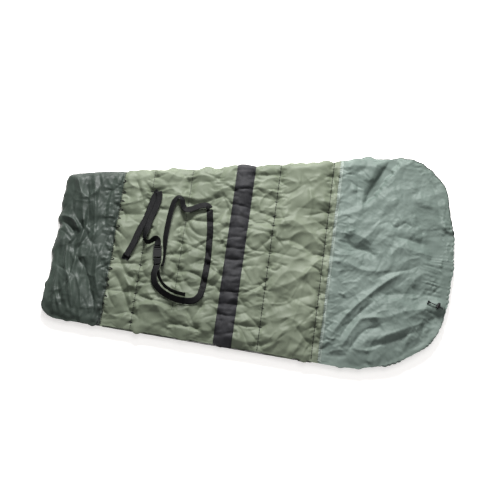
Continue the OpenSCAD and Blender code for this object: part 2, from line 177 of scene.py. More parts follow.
def nearest_on(p, line):
    """Distance of each point to a line, the nearest point there, its segment and how far along that."""
    best, near = np.full(len(p), 1e9), np.zeros_like(p)
    segment, share = np.zeros(len(p), int), np.zeros(len(p))
    for i, (s, e) in enumerate(zip(line, line[1:])):
        d = e - s
        t = np.clip(((p - s) @ d) / (d @ d), 0, 1)
        q = s + t[:, None] * d
        dist = np.hypot(*(p - q).T)
        m = dist < best
        best[m], near[m], segment[m], share[m] = dist[m], q[m], i, t[m]
    return best, near, segment, share


def nearest_edge(p, poly):
    """Distance to the polygon's edge, the nearest point there, and how far round the edge that is."""
    line = np.vstack([poly, poly[:1]])
    best, near, segment, share = nearest_on(p, line)
    lengths = np.linalg.norm(np.diff(line, axis=0), axis=1)
    start = np.concatenate([[0], np.cumsum(lengths)])
    return best, near, start[segment] + share * lengths[segment]


def inside(p, poly):
    x, y = p.T
    hit = np.zeros(len(p), bool)
    for (x1, y1), (x2, y2) in zip(poly, np.roll(poly, -1, 0)):
        hit ^= ((y1 > y) != (y2 > y)) & (x < (x2 - x1) * (y - y1) / (y2 - y1 + 1e-12) + x1)
    return hit


# ---------------------------------------------------------------- folds
def tie_points(seed, spacing):
    """Where the thread of one quilting line draws the layers together."""
    r = np.random.RandomState(seed)
    y, out = -0.60, []
    while y < 0.60:
        y += spacing * r.uniform(0.6, 1.5)
        out.append(y)
    return out


SEAMS = sorted([(x, 0.068, 1.0) for x in QUILT_LINES] + [(STRAP_LINE, 0.075, 0.8), (FOOT_SEAM, 0.062, 0.9),
               (BAND[0], 0.062, 0.8), (BAND[1], 0.062, 0.8), (HOOD_SEAM, 0.060, 0.5)])


def creases():
    """Valleys that start at the ties: start, end, sag, width, depth at the start, depth at the end."""
    rows = []
    for number, (x, spacing, strength) in enumerate(SEAMS[:-1]):
        r = np.random.RandomState(40 + number)
        next_x, next_spacing, next_strength = SEAMS[number + 1]
        here, there = tie_points(20 + number, spacing), tie_points(21 + number, next_spacing)
        gap = next_x - x
        if x == BAND[0]:
            for y in here:
                rows.append((x - 0.01, y, next_x + 0.01, y + r.normal(0, 0.012), r.normal(0, 0.004),
                             r.uniform(0.005, 0.009), r.uniform(0.003, 0.011), r.uniform(0.003, 0.011)))
            continue
        for start_x, side, ties, power in ((x, 1, here, strength), (next_x, -1, there, next_strength)):
            for y in ties:
                for lean in (r.uniform(-62, -4), r.uniform(4, 62)):
                    if r.rand() < 0.3:
                        continue
                    reach = r.uniform(0.035, 0.095) * (1 if r.rand() < 0.6 else 1.6)
                    dx = min(reach * math.cos(math.radians(lean)), gap * 0.8)
                    dy = reach * math.sin(math.radians(lean))
                    rows.append((start_x, y, start_x + side * dx, y + dy, r.normal(0, 0.008),
                                 r.uniform(0.0055, 0.012), power * r.uniform(0.007, 0.016), 0))
        for y in here:
            goal = min(there, key=lambda other: abs(other - y - r.normal(0, 0.04)))
            if gap < 0.20 and r.rand() < 0.35:
                rows.append((x, y, next_x, goal, r.normal(0, 0.012), r.uniform(0.007, 0.012),
                             strength * r.uniform(0.009, 0.016), strength * r.uniform(0.006, 0.014)))
    return rows


def puckers():
    """Short wrinkles across every seam."""
    r = np.random.RandomState(71)
    rows = []
    for x, _, strength in SEAMS:
        y = -0.56
        while y < 0.56:
            y += r.uniform(0.011, 0.030)
            left, right = r.uniform(0.006, 0.030, 2)
            rows.append((x - left, y + r.normal(0, 0.006), x + right, y + r.normal(0, 0.006), 0,
                         r.uniform(0.0032, 0.0055), strength * r.uniform(0.001, 0.005),
                         strength * r.uniform(0.001, 0.005)))
    return rows


def stroke(x, y, x0, y0, x1, y1, sag, width, start, end):
    """One fold from point to point, as deep as start and end say; negative ones are valleys."""
    d = np.array([x1 - x0, y1 - y0])
    length = np.hypot(*d)
    d = d / length
    reach = 5 * width + abs(sag)
    cx, cy = x - (x0 + x1) / 2, y - (y0 + y1) / 2
    along = cx * d[0] + cy * d[1]
    across = -cx * d[1] + cy * d[0]
    m = (np.abs(along) < length / 2 + 3 * width) & (np.abs(across) < reach)
    out = np.zeros_like(x)
    if not m.any():
        return out
    share = along[m] / length + 0.5
    past = np.maximum(np.abs(along[m]) - length / 2, 0)
    t = across[m] - sag * 4 * share * (1 - share)
    t = np.hypot(t, past)
    share = np.clip(share, 0, 1)
    height = start * (1 - share) ** 0.8 + end * share ** 0.8
    sharp = np.where(height < 0, 1.0, 1.35)
    out[m] = height * np.exp(-(t / width) ** sharp)
    return out


CREASES = creases() + puckers()


def scattered(seed, count, box, angle, spread, lengths, widths, height):
    """Loose folds of a region: half of them crests and half valleys."""
    r = np.random.RandomState(seed)
    rows = []
    for k in range(count):
        x, y = r.uniform(box[0], box[1]), r.uniform(box[2], box[3])
        turn = math.radians(angle + r.normal(0, spread))
        half = r.uniform(*lengths) / 2
        dx, dy = half * math.cos(turn), half * math.sin(turn)
        h = r.uniform(0.4, 1) * height * (1 if k % 2 else -1)
        rows.append((x - dx, y - dy, x + dx, y + dy, r.normal(0, 0.12) * half, r.uniform(*widths),
                     h * r.uniform(0.3, 1), h * r.uniform(0.3, 1)))
    return rows


def rim_wrinkles(seed, count):
    """Small creases that run beside the hood's mouth and its far corner."""
    r = np.random.RandomState(seed)
    rim = spaced(RIM[(RIM[:, 0] > 0.66) & (RIM[:, 1] > -0.44)], 0.01)
    rows = []
    for k in range(count):
        i = r.randint(1, len(rim) - 1)
        along = (rim[i + 1] - rim[i - 1]) / np.hypot(*(rim[i + 1] - rim[i - 1]))
        middle = rim[i] + np.array([-along[1], along[0]]) * r.uniform(0.018, 0.060)
        turn = r.normal(0, 0.35)
        way = np.array([along[0] * math.cos(turn) - along[1] * math.sin(turn),
                        along[0] * math.sin(turn) + along[1] * math.cos(turn)]) * r.uniform(0.012, 0.042)
        h = r.uniform(0.4, 1) * 0.0085 * (-1 if k % 3 else 1)
        rows.append((*(middle - way), *(middle + way), r.normal(0, 0.004), r.uniform(0.003, 0.0065),
                     h * 0.6, h))
    return rows


FOOT_BOX = (-0.95, -0.67, -0.45, 0.32)
HOOD_BOX = (0.38, 0.95, -0.52, 0.52)
BODY_BOX = (-0.66, 0.37, -0.52, 0.50)
FOOT_STROKES = (scattered(61, 40, FOOT_BOX, 92, 16, (0.10, 0.30), (0.006, 0.014), 0.010)
                + scattered(62, 130, FOOT_BOX, 84, 26, (0.03, 0.12), (0.003, 0.007), 0.0042)
                + scattered(68, 40, (-0.72, -0.67, -0.45, 0.32), 5, 20, (0.02, 0.05), (0.004, 0.007), 0.005))
HOOD_STROKES = (scattered(63, 34, HOOD_BOX, 38, 32, (0.10, 0.26), (0.014, 0.030), 0.0080)
                + scattered(64, 200, HOOD_BOX, 50, 60, (0.03, 0.10), (0.003, 0.007), 0.0036)
                + scattered(65, 60, (0.38, 0.47, -0.52, 0.52), 5, 20, (0.02, 0.06), (0.004, 0.008), 0.0060)
                + rim_wrinkles(69, 150))
BODY_STROKES = (scattered(66, 46, BODY_BOX, 24, 40, (0.08, 0.20), (0.010, 0.022), 0.0100)
                + scattered(67, 130, BODY_BOX, 20, 50, (0.03, 0.10), (0.003, 0.006), 0.0050))


def groove(x, y, points, width, depth):
    """A fold along a line of points, all in millimetres: depth is negative for a ridge."""
    line = spaced(catmull(np.array(points) / 1000, 6), 0.01)
    width, depth, p = width / 1000, depth / 1000, np.column_stack([x, y])
    out = np.zeros(len(p))
    m = ((p > line.min(0) - 5 * width) & (p < line.max(0) + 5 * width)).all(1)
    if m.any():
        away, _, segment, share = nearest_on(p[m], line)
        along = (segment + share) / (len(line) - 1)
        ends = np.clip(np.minimum(along, 1 - along) * 6, 0, 1) ** 0.7
        out[m] = -depth * ends * np.exp(-(away / width) ** 1.3)
    return out


# Large folds in millimetres: points along the fold, width, depth (a ridge is negative)
HOOD_FOLDS = [
    ([(676, 620), (640, 510), (592, 420), (556, 355), (505, 270)], 16, 26),
    ([(650, 600), (606, 480), (566, 410), (534, 355), (495, 300)], 20, 10),
    ([(606, 496), (634, 492), (662, 504)], 11, 24),
    ([(588, 452), (612, 446), (640, 456)], 11, 22),
    ([(562, 408), (585, 400), (606, 408)], 9, 14),
    ([(545, 372), (566, 360), (588, 366)], 10, 11),
    ([(522, 334), (545, 322), (566, 328)], 9, 10),
    ([(668, 520), (632, 430), (600, 380)], 28, -5),
    ([(560, 500), (545, 430), (520, 380)], 28, -7),
    ([(629, 200), (660, 168), (688, 176), (715, 196), (755, 168)], 7, 4),
    ([(427, 96), (470, 52), (520, 44), (594, 18)], 24, 12),
    ([(430, 130), (490, 110), (560, 75)], 22, -7),
    ([(660, 126), (778, 106), (883, 92)], 22, 11),
    ([(660, 70), (740, 62), (850, 40)], 24, -6),
    ([(400, -400), (465, -289), (574, -170), (649, -103), (730, -46)], 13, -9),
    ([(440, -410), (500, -300), (600, -200)], 13, 8),
    ([(560, -200), (640, -170), (760, -150), (900, -150)], 40, 10),
    ([(454, -444), (528, -311), (583, -291), (650, -286)], 14, -9),
    ([(480, -470), (560, -350), (640, -330)], 14, 7),
    ([(640, -290), (760, -240), (880, -215)], 22, -7),
    ([(600, -400), (720, -340), (840, -280)], 18, -7),
    ([(560, -440), (690, -390), (800, -330)], 14, 6),
    ([(440, -20), (520, -60), (620, -60)], 16, -6),
    ([(760, 230), (800, 150), (790, 80)], 10, 4),
    ([(820, 430), (860, 330), (880, 220)], 12, 5),
    ([(470, 440), (475, 340), (480, 250)], 8, 4),
]
FOOT_FOLDS = [
    ([(-943, 80), (-904, 68), (-860, 50), (-826, -5)], 10, -9),
    ([(-930, 50), (-890, 30), (-850, -10)], 14, 9),
    ([(-880, 300), (-850, 200), (-800, 160), (-780, 60)], 20, -8),
    ([(-790, 280), (-770, 150), (-760, 0), (-770, -160)], 18, -8),
    ([(-820, 240), (-800, 100), (-810, -60)], 16, 8),
    ([(-880, -50), (-870, -180), (-830, -280), (-810, -380)], 14, -9),
    ([(-910, -80), (-905, -220), (-880, -340)], 18, 9),
    ([(-720, -50), (-725, -200), (-690, -320)], 14, -9),
    ([(-745, -100), (-750, -240), (-730, -360)], 14, 8),
    ([(-700, 250), (-720, 150), (-715, 40)], 14, 7),
    ([(-830, -200), (-790, -280), (-770, -380)], 11, -7),
]
BODY_FOLDS = [
    ([(110, 130), (180, 150), (250, 110), (320, 40)], 26, -7),
    ([(110, -200), (190, -160), (260, -110), (320, -80)], 30, -8),
    ([(120, -290), (210, -240), (320, -200)], 26, 7),
    ([(110, 40), (190, 50), (300, -10)], 22, 7),
    ([(100, 280), (160, 300), (240, 360)], 20, 7),
    ([(120, -350), (200, -330), (300, -380)], 30, -6),
    ([(-640, -80), (-590, -180), (-560, -200), (-530, -180)], 18, 9),
    ([(-640, -180), (-600, -250), (-560, -330), (-540, -400)], 18, 8),
    ([(-620, -140), (-570, -230), (-540, -330)], 20, -7),
    ([(-480, -250), (-400, -360), (-340, -420)], 22, -6),
    ([(-280, -330), (-240, -400), (-200, -440)], 16, 7),
    ([(-600, 300), (-560, 220), (-540, 150)], 16, 6),
]


def flatness(x, y):
    """1 where the buckle and its straps need an even surface, 0 elsewhere."""
    return np.exp(-(((x + 0.45) / 0.05) ** 2 + ((y + 0.07) / 0.08) ** 2) ** 2)


def seam_dip(seam_x, line_x, width):
    """1 on a seam, and 0 away from it."""
    return np.exp(-(np.abs(seam_x - line_x) / width) ** 1.3)


def with_folds(height, here, warped, folds, wide, deep, strokes, calm=1.0):
    """A region's height with its large folds and its loose folds."""
    for points, width, depth in folds:
        height = height + groove(*here, points, width * wide, depth * deep)
    for row in strokes:
        height = height + stroke(*warped, *row) * calm
    return height


def fold_height(x, y):
    """How far folds and quilting lift or lower the shell at each point."""
    seam_x = x - SKEW * y
    wx = x + 0.010 * noise(x * 9, y * 9, 1)
    wy = y + 0.012 * noise(x * 9 + 5, y * 9 + 3, 2)
    body = smooth((seam_x - FOOT_SEAM) / 0.006) * smooth((HOOD_SEAM - seam_x) / 0.006)
    foot = smooth((FOOT_SEAM - seam_x) / 0.006)
    hood = smooth((seam_x - HOOD_SEAM) / 0.006)

    # Quilting: creases from the ties, then the seams themselves
    z = np.zeros_like(x)
    for x0, y0, x1, y1, sag, width, start, end in CREASES:
        z += stroke(wx, wy, x0 + SKEW * y0, y0, x1 + SKEW * y1, y1, sag, width, -start, -end)
    z = CREASE_DEPTH * np.tanh(z / CREASE_DEPTH)
    for line_x in QUILT_LINES:
        z -= 0.006 * seam_dip(seam_x, line_x, 0.012) * body
    for line_x in BAND:
        z -= 0.0035 * seam_dip(seam_x, line_x, 0.014)
    z -= 0.004 * seam_dip(seam_x, FOOT_SEAM, 0.012)
    z -= 0.003 * seam_dip(seam_x, HOOD_SEAM, 0.010)

    # Body: soft pillows between the seams
    u, v = turned(wx, wy, 24)
    soft = 0.0110 * noise(wx * 5.5, wy * 8, 3) + 0.0080 * ridged(u * 5, v * 9, 4) - 0.006
    soft += 0.0030 * ridged(u * 10, v * 16, 5)
    z += body * with_folds(soft, (x, y), (wx, wy), BODY_FOLDS, 0.9, 1.5, BODY_STROKES)

    # Foot: long silky folds across the bag
    u, v = turned(wx, wy, 8)
    silky = 0.0050 * noise(u * 9, v * 4, 6) + 0.0055 * ridged(u * 12, v * 3.5, 7) - 0.004
    z += foot * with_folds(silky, (x, y), (wx, wy), FOOT_FOLDS, 0.8, 1.2, FOOT_STROKES)

    # Hood: crisp folds, calmer beyond the deep crease
    u, v = turned(wx, wy, 35)
    crisp = 0.0090 * noise(wx * 4.5, wy * 6, 9) + 0.0045 * ridged(u * 6, v * 9, 10) - 0.004
    crisp += 0.0012 * ridged(wx * 40, wy * 40, 12)
    calm = 1 - 0.5 * smooth((y - 0.05) / 0.2) * smooth((x - 0.5) / 0.1)
    crisp = with_folds(crisp, (x, y), (wx, wy), HOOD_FOLDS, 1.0, 1.35, HOOD_STROKES, calm)
    z += hood * crisp - 0.002 * hood
    return z * (1 - 0.85 * flatness(x, y))


# Bumps and notches of the outline: where, how far out (inwards is negative), how wide
OUTLINE_MARKS = [((0.476, 0.522), 0.014, 0.045), ((0.632, 0.518), -0.020, 0.014),
                 ((0.668, 0.522), 0.010, 0.026), ((-0.946, 0.028), -0.014, 0.016),
                 ((-0.943, 0.075), 0.006, 0.025), ((-0.62, 0.32), 0.010, 0.030),
                 ((-0.30, 0.36), -0.010, 0.020), ((-0.665, -0.445), -0.010, 0.012),
                 ((0.505, -0.535), 0.008, 0.020), ((0.374, -0.525), 0.010, 0.012),
                 ((-0.15, -0.485), -0.008, 0.016)]


def low_edge(near):
    """Level of the shell's lower edge: above the zip, at the hood's mouth, or down by the floor."""
    x, y = near.T
    is_near = smooth((-y - 0.20) / 0.10) * smooth((x + 0.83) / 0.06)
    at_mouth = smooth((x - 0.62) / 0.08)
    return 0.006 + np.maximum(0.030 * is_near, 0.025 * at_mouth)


GATHER = np.cumsum(np.random.RandomState(5).uniform(0.012, 0.034, 500))


def gathers(around):
    """Ruffles beside the drawcord: 0 in the valleys, 1 on the crests."""
    i = np.clip(np.searchsorted(GATHER, around), 1, len(GATHER) - 1)
    t = np.clip((around - GATHER[i - 1]) / (GATHER[i] - GATHER[i - 1]), 0, 1)
    return np.sin(np.pi * t) ** 0.7 * (0.5 + 0.5 * ((i * 7919) % 13) / 12)


def from_edge(uv):
    """For points of the pattern: distance in from the rim, nearest rim point, way round, way in."""
    a, near, around = nearest_edge(uv, RIM)
    inward = uv - near
    size = np.maximum(np.hypot(*inward.T), 1e-9)
    inward = inward / size[:, None]
    beyond = ~inside(uv, RIM)
    a[beyond] = 0
    inward[beyond] *= -1
    at_edge = size < 1e-5
    inward[at_edge] = -near[at_edge] / np.hypot(*near[at_edge].T)[:, None]
    return a, near, around, inward


def edge_lumps(uv, near, around, near_hood, ruffle):
    """How far the outline swells beyond the rim, or draws in at the seams."""
    lumps = 0.014 * noise(around * 9, around * 0, 21) + 0.010 * noise(around * 24, around * 0, 22)
    for line_x, _, strength in SEAMS:
        lumps -= 0.009 * strength * np.exp(-np.abs(uv[:, 0] - SKEW * uv[:, 1] - line_x) / 0.018)
    lumps = lumps * (1 - 0.4 * near_hood) + 0.005 * (ruffle - 0.5)
    for (mark_x, mark_y), outwards, width in OUTLINE_MARKS:
        lumps += outwards * np.exp(-np.hypot(near[:, 0] - mark_x, near[:, 1] - mark_y) ** 2 / width ** 2)
    return lumps


def settled(uv):
    """Where points of the flat pattern lie once the bag is spread out."""
    uv = np.asarray(uv, float).reshape(-1, 2)
    a, near, around, inward = from_edge(uv)
    theta = np.clip(a / EDGE_ARC, 0, 1) * math.pi / 2
    near_hood = smooth((near[:, 0] - 0.55) / 0.1)
    ruffle = gathers(around) * near_hood * (1 - smooth((near[:, 1] - 0.15) / 0.15))
    lumps = edge_lumps(uv, near, around, near_hood, ruffle)

    # In plan: the side curves out from the rim, and over the zip it bulges instead
    by_zip = smooth((-near[:, 1] - 0.20) / 0.10)
    over_zip = np.sin(2 * theta) ** 0.7 * by_zip
    shift = (EDGE_ARC - EDGE_W) + EDGE_W * (1 - np.cos(theta))
    out = -lumps * np.cos(theta) * (1 - by_zip) - (lumps * 1.5 + 0.010) * over_zip
    plan = uv.copy()
    m = a < EDGE_ARC
    plan[m] = near[m] + inward[m] * (shift + out)[m][:, None]
    plan_x, plan_y = plan.T

    # In height: up the side, then folds, then the ruffles beside the drawcord
    low = low_edge(near)
    z = low + (TOP_Z - low) * np.sin(theta)
    z += fold_height(plan_x, plan_y) * (smooth(a / 0.07) * 0.75 + 0.25 * smooth(a / 0.012))
    z += 0.010 * ruffle * np.exp(-a / (0.024 + 0.03 * (noise(around * 20, around * 0, 23) + 0.5) ** 2))

    # Both ends and the side over the zip lie lower than the middle
    z -= (0.012 * smooth((plan_x - 0.70) / 0.26) + 0.006 * smooth((-plan_x - 0.80) / 0.16)) * smooth(a / 0.05)
    at_tip = smooth((plan_y + 0.34) / 0.12) * smooth((0.24 - plan_y) / 0.12)
    z -= 0.018 * smooth((plan_x + 0.22 * plan_y - 0.815) / 0.07) * at_tip * smooth(a / 0.03)
    z += 0.005 * (ruffle - 0.4) * at_tip * smooth((plan_x - 0.80) / 0.06)
    hood = smooth((plan_x - HOOD_SEAM) / 0.05)
    z -= by_zip * (0.009 + 0.012 * hood) * (1 - smooth(a / 0.14)) * smooth(a / 0.03)

    # Nothing sinks into the linings, and the hood is even under the cord lock
    floor = LINING_FLOOR + 0.0080 * by_zip * (1 - smooth((a - 0.03) / 0.03))
    lining_held = floor + 0.003 * np.logaddexp(0, (z - floor) / 0.003)
    z = np.where(a > 0.02, lining_held, np.maximum(z, floor * by_zip))
    bed = np.exp(-(np.hypot(plan_x - LOCK_AT[0], plan_y - LOCK_AT[1]) / 0.034) ** 4)
    z += bed * (LOCK_AT[2] - z)
    return np.column_stack([plan, np.maximum(z, 0.003)])


SHELL = {}


def drape(uv):
    """Where points of the flat pattern lie on the finished shell."""
    uv = np.asarray(uv, float).reshape(-1, 2)
    out = np.zeros((len(uv), 3))
    for k, (x, y) in enumerate(uv):
        spot, _, index, _ = SHELL["tree"].find_nearest((x, y, 0))
        i, j, l = SHELL["faces"][index]
        a, b, c = SHELL["uv"][[i, j, l]]
        t = np.linalg.solve(np.array([b - a, c - a]).T, np.array(spot[:2]) - a)
        out[k] = SHELL["verts"][i] * (1 - t.sum()) + SHELL["verts"][j] * t[0] + SHELL["verts"][l] * t[1]
    return out


def press_under_straps(verts):
    """The straps hold the puffed shell down where they lie."""
    out = verts.copy()
    for path in (UPPER, LOWER, SPARE, LEFT, TAIL):
        for x, y, _, lean in spaced(catmull(path, 8), 0.008):
            reach = 0.020 * math.cos(math.radians(lean)) + 0.008
            d = np.hypot(verts[:, 0] - x, verts[:, 1] - y)
            ceiling = STRAP_CEILING + 0.4 * np.maximum(d - reach, 0)
            out[:, 2] = np.minimum(out[:, 2], ceiling)
    return out


# ---------------------------------------------------------------- meshes
def make(name, verts, faces, material):
    mesh = bpy.data.meshes.new(name)
    mesh.from_pydata([tuple(v) for v in verts], [], [tuple(f) for f in faces])
    mesh.update()
    mesh.materials.append(material)
    mesh.polygons.foreach_set("use_smooth", [True] * len(mesh.polygons))
    obj = bpy.data.objects.new(name, mesh)
    bpy.context.scene.collection.objects.link(obj)
    return obj


def set_uv(obj, uv):
    """uv is one pair for each vertex, in metres along and across the piece."""
    layer = obj.data.uv_layers.new(name="cloth")
    index = np.zeros(len(obj.data.loops), int)
    obj.data.loops.foreach_get("vertex_index", index)
    layer.data.foreach_set("uv", np.asarray(uv, np.float32)[index].ravel())


def triangulate(poly, step, lines):
    """Even triangles over the pattern, with edges along the given lines."""
    edge = round_trip(poly, step)
    lo, hi = poly.min(0), poly.max(0)
    row = step * math.sqrt(3) / 2
    count_x, count_y = int((hi[0] - lo[0]) / step) + 2, int((hi[1] - lo[1]) / row) + 2
    j, i = np.mgrid[0:count_y, 0:count_x]
    p = np.stack([lo[0] + step * (i + 0.5 * (j % 2)), lo[1] + row * (j + 0.5)], -1).reshape(-1, 2)
    p = p[inside(p, poly)]
    p = p[nearest_edge(p, poly)[0] > 0.6 * step]
    for line_x in lines:
        p = p[np.abs(p[:, 0] - SKEW * p[:, 1] - line_x) > 0.4 * step]
    edges = [(k, (k + 1) % len(edge)) for k in range(len(edge))]
    parts, base = [edge], len(edge)
    for line_x in lines:
        ys = np.arange(-0.62, 0.62, step * 0.5)
        on = np.stack([line_x + SKEW * ys, ys], 1)
        on = on[inside(on, poly)]
        shares = np.linspace(0.002, 0.998, int(length_of(on[[0, -1]]) / step))[:, None]
        parts.append(on[0] + (on[-1] - on[0]) * shares)
        edges += [(base + k, base + k + 1) for k in range(len(shares) - 1)]
        base += len(shares)
    verts = np.concatenate(parts + [p])
    out = delaunay_2d_cdt([Vector(q) for q in verts], edges, [list(range(len(edge)))], 1, 1e-6)
    return np.array([tuple(q) for q in out[0]]), np.array([tuple(t) for t in out[2]])


def part_of(verts, uv, faces, keep):
    """The faces that pass, with only their own vertices."""
    faces = faces[keep]
    used, packed = np.unique(faces, return_inverse=True)
    return verts[used], uv[used], packed.reshape(faces.shape)


def normals_of(verts, faces):
    n = np.zeros_like(verts)
    f = np.cross(verts[faces[:, 1]] - verts[faces[:, 0]], verts[faces[:, 2]] - verts[faces[:, 0]])
    for k in range(faces.shape[1]):
        np.add.at(n, faces[:, k], f)
    return unit(n)


def grid_faces(rows, columns, closed=False):
    faces = []
    for i in range(rows - 1):
        for j in range(columns if closed else columns - 1):
            k = (j + 1) % columns
            faces.append((i * columns + j, i * columns + k, (i + 1) * columns + k, (i + 1) * columns + j))
    return np.array(faces)


def both_sides(faces, count):
    """Faces of a layer's top, then of its bottom, whose vertices come count later."""
    return [tuple(f) for f in faces] + [tuple(f[::-1] + count) for f in faces]


def swept_faces(rings, ring, base=0):
    """Faces of a closed section swept along a line, with both ends shut."""
    last = base + (rings - 1) * ring
    return ([tuple(f + base) for f in grid_faces(rings, ring, closed=True)]
            + [tuple(range(base + ring - 1, base - 1, -1)), tuple(range(last, last + ring))])


def laid_length(line):
    """Length over the shell of a line of the pattern."""
    return length_of(drape(spaced(line, 0.005)))


def draped_strip(name, line, width, lift, thickness, material, columns=7, wave=0.0):
    """A flat strip that lies on the shell along a line of the pattern."""
    line = spaced(line, 0.005)
    d = unit(np.gradient(line, axis=0))
    side = np.stack([-d[:, 1], d[:, 0]], 1)
    across = np.linspace(-0.5, 0.5, columns)
    uv = (line[:, None, :] + side[:, None, :] * width * across[None, :, None]).reshape(-1, 2)
    verts = drape(uv)
    faces = grid_faces(len(line), columns)[:, ::-1]
    n = normals_of(verts, faces)
    n[n[:, 2] < 0] *= -1
    along = np.repeat(np.linspace(0, length_of(line), len(line)), columns)
    flat = np.tile(across * width, len(line))
    crown = np.tile(1 - (2 * np.abs(across)) ** 6, len(line))
    ripple = wave * noise(along * 60, flat * 20, 31) if wave else 0
    top = verts + n * (lift + thickness * (0.4 + 0.6 * crown) + ripple)[:, None]
    bottom = verts + n * (lift - 0.001)
    count, last = len(verts), (len(line) - 1) * columns
    rim = ([i * columns for i in range(len(line))] + [last + j for j in range(1, columns)]
           + [i * columns + columns - 1 for i in range(len(line) - 2, -1, -1)]
           + list(range(columns - 2, 0, -1)))
    sides = [(a, b, b + count, a + count) for a, b in zip(rim, rim[1:] + rim[:1])]
    obj = make(name, np.vstack([top, bottom]), both_sides(faces, count) + sides, material)
    uv_cloth = np.column_stack([along, flat])
    set_uv(obj, np.vstack([uv_cloth, uv_cloth]))
    return obj


def seam_line(x, low=-0.70, high=0.70, inset=0.006):
    """A line across the pattern, from edge to edge."""
    ys = np.arange(low, high, 0.004)
    line = np.stack([x + SKEW * ys, ys], 1)
    line = line[inside(line, RIM)]
    return line[nearest_edge(line, RIM)[0] > inset]


def strap_path(rows):
    return spaced(catmull(rows, 8), 0.004)


def ribbon(name, rows, material, columns=9):
    """Webbing swept along x, y, z and lean: 0 lies flat, 90 stands on its edge."""
    path = strap_path(rows)
    d = unit(np.gradient(path[:, :3], axis=0))
    lean = np.radians(path[:, 3])
    flat = unit(np.stack([-d[:, 1], d[:, 0], np.zeros(len(d))], 1))
    up = np.cross(d, flat)
    side = flat * np.cos(lean)[:, None] + up * np.sin(lean)[:, None]
    face = np.cross(d, side)
    across = np.linspace(-0.5, 0.5, columns)
    edge = 0.5 * WEBBING_T * (1 - (2 * np.abs(across)) ** 8 * 0.55)
    rings = []
    for k in range(len(path)):
        base = path[k, :3]
        rings += [base + side[k] * WEBBING_W * a + face[k] * e for a, e in zip(across, edge)]
        rings += [base + side[k] * WEBBING_W * a - face[k] * e for a, e in zip(across[::-1], edge[::-1])]
    ring = 2 * columns
    obj = make(name, rings, [f[::-1] for f in swept_faces(len(path), ring)], material)
    along = np.repeat(np.linspace(0, length_of(path[:, :3]), len(path)), ring)
    cross = np.tile(np.concatenate([across, across[::-1]]) * WEBBING_W, len(path))
    set_uv(obj, np.column_stack([along, cross]))
    return obj


TUBE_SIDE = np.array([0.31, 0.17, 0.94])     # no strand runs this way


def tubes(name, lines, radius, material, sides=6):
    """Thin round strands in one piece; lines are rows of points."""
    verts, faces = [], []
    for line in lines:
        line = np.array(line, float)
        d = unit(np.gradient(line, axis=0))
        a = unit(np.cross(d, TUBE_SIDE))
        b = np.cross(a, d)
        base = len(verts)
        for k in range(len(line)):
            r = radius * (0.6 if k in (0, len(line) - 1) else 1)
            for s in range(sides):
                t = 2 * math.pi * s / sides
                verts.append(line[k] + r * (a[k] * math.cos(t) + b[k] * math.sin(t)))
        faces += swept_faces(len(line), sides, base)
    return make(name, verts, faces, material)


# ---------------------------------------------------------------- materials
def nodes_of(name):
    """A new material, its node tree and its main shader."""
    material = bpy.data.materials.new(name)
    material.use_nodes = True
    tree = material.node_tree
    return material, tree, tree.nodes["Principled BSDF"]


def add(tree, kind, **values):
    node = tree.nodes.new(kind)
    for key, value in values.items():
        if key in node.inputs:
            node.inputs[key].default_value = value
        else:
            setattr(node, key, value)
    return node


def linear(rgb):
    """A colour given as it looks, turned into light amounts."""
    return tuple(c / 12.92 if c <= 0.04045 else ((c + 0.055) / 1.055) ** 2.4 for c in rgb) + (1,)


def mixed_colour(tree, factor, dark, light):
    ramp = add(tree, "ShaderNodeValToRGB")
    ramp.color_ramp.elements[0].color = linear(dark)
    ramp.color_ramp.elements[1].color = linear(light)
    ramp.color_ramp.elements[0].position = 0.3
    ramp.color_ramp.elements[1].position = 0.7
    tree.links.new(factor, ramp.inputs["Fac"])
    return ramp.outputs["Color"]


def texture(tree, place, kind, **values):
    """A texture's grey value at the given places."""
    node = add(tree, kind, **values)
    tree.links.new(place, node.inputs["Vector"])
    return node.outputs["Fac"]


def bump(tree, height, strength, distance, under=None):
    """A bump from a grey value, laid over the bump under it."""
    node = add(tree, "ShaderNodeBump", Strength=strength, Distance=distance)
    tree.links.new(height, node.inputs["Height"])
    if under:
        tree.links.new(under, node.inputs["Normal"])
    return node.outputs["Normal"]


def cloth(name, dark, light, roughness, sheen, crinkle, gloss=0.35):
    """Woven nylon: a fine weave, wrinkles too small for the mesh and slow changes of tone."""
    material, tree, shader = nodes_of(name)
    place = add(tree, "ShaderNodeTexCoord").outputs["Object"]
    slow = texture(tree, place, "ShaderNodeTexNoise", Scale=5.0, Detail=3.0)
    tree.links.new(mixed_colour(tree, slow, dark, light), shader.inputs["Base Color"])
    sharp = texture(tree, place, "ShaderNodeTexNoise", noise_type="RIDGED_MULTIFRACTAL", Scale=13.0,
                    Detail=3.0, Distortion=0.6)
    fine = texture(tree, place, "ShaderNodeTexNoise", Scale=60.0, Detail=6.0, Roughness=0.6)
    normal = bump(tree, sharp, min(crinkle * 5, 0.9), 0.016)
    normal = bump(tree, fine, crinkle, 0.004, normal)
    for direction in ("X", "Y"):
        wave = texture(tree, place, "ShaderNodeTexWave", Scale=75.0, bands_direction=direction,
                       Distortion=0.4)
        normal = bump(tree, wave, 0.10, 0.0003, normal)
    tree.links.new(normal, shader.inputs["Normal"])
    shader.inputs["Roughness"].default_value = roughness
    shader.inputs["Sheen Weight"].default_value = sheen
    shader.inputs["Sheen Roughness"].default_value = 0.4
    shader.inputs["Specular IOR Level"].default_value = gloss
    return material


